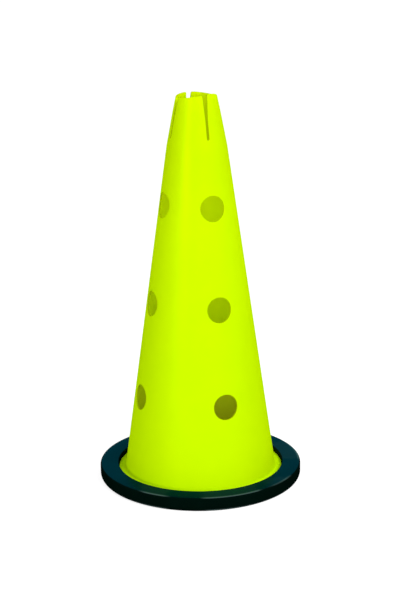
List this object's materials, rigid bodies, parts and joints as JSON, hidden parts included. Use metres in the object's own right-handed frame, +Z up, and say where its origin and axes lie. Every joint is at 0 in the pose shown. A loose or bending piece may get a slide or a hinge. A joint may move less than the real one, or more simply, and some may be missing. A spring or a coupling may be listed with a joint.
{
  "type": "sports marker cone",
  "caption": "Tall hollow plastic marker cone with cross holes for poles and a slotted top, standing in a loose rubber weight ring round its foot.",
  "frame": {"origin": "centre of the base, on the floor", "axes": "+Z up the cone's axis; the cross holes and the slots of the tip lie on +X, -X, +Y and -Y"},
  "size_m": [0.262, 0.262, 0.5],
  "materials": {
    "cone_plastic": "satin",
    "ring_rubber": "matte"
  },
  "bodies": {
    "cone": {"cone_shell": "cone_plastic"},
    "ring": {"base_ring": "ring_rubber"}
  },
  "joints": [
    {"name": "ring_lift", "type": "slide", "parent": "cone", "child": "ring", "axis": [0, 0, 1], "range_m": [0, 0.51]}
  ]
}
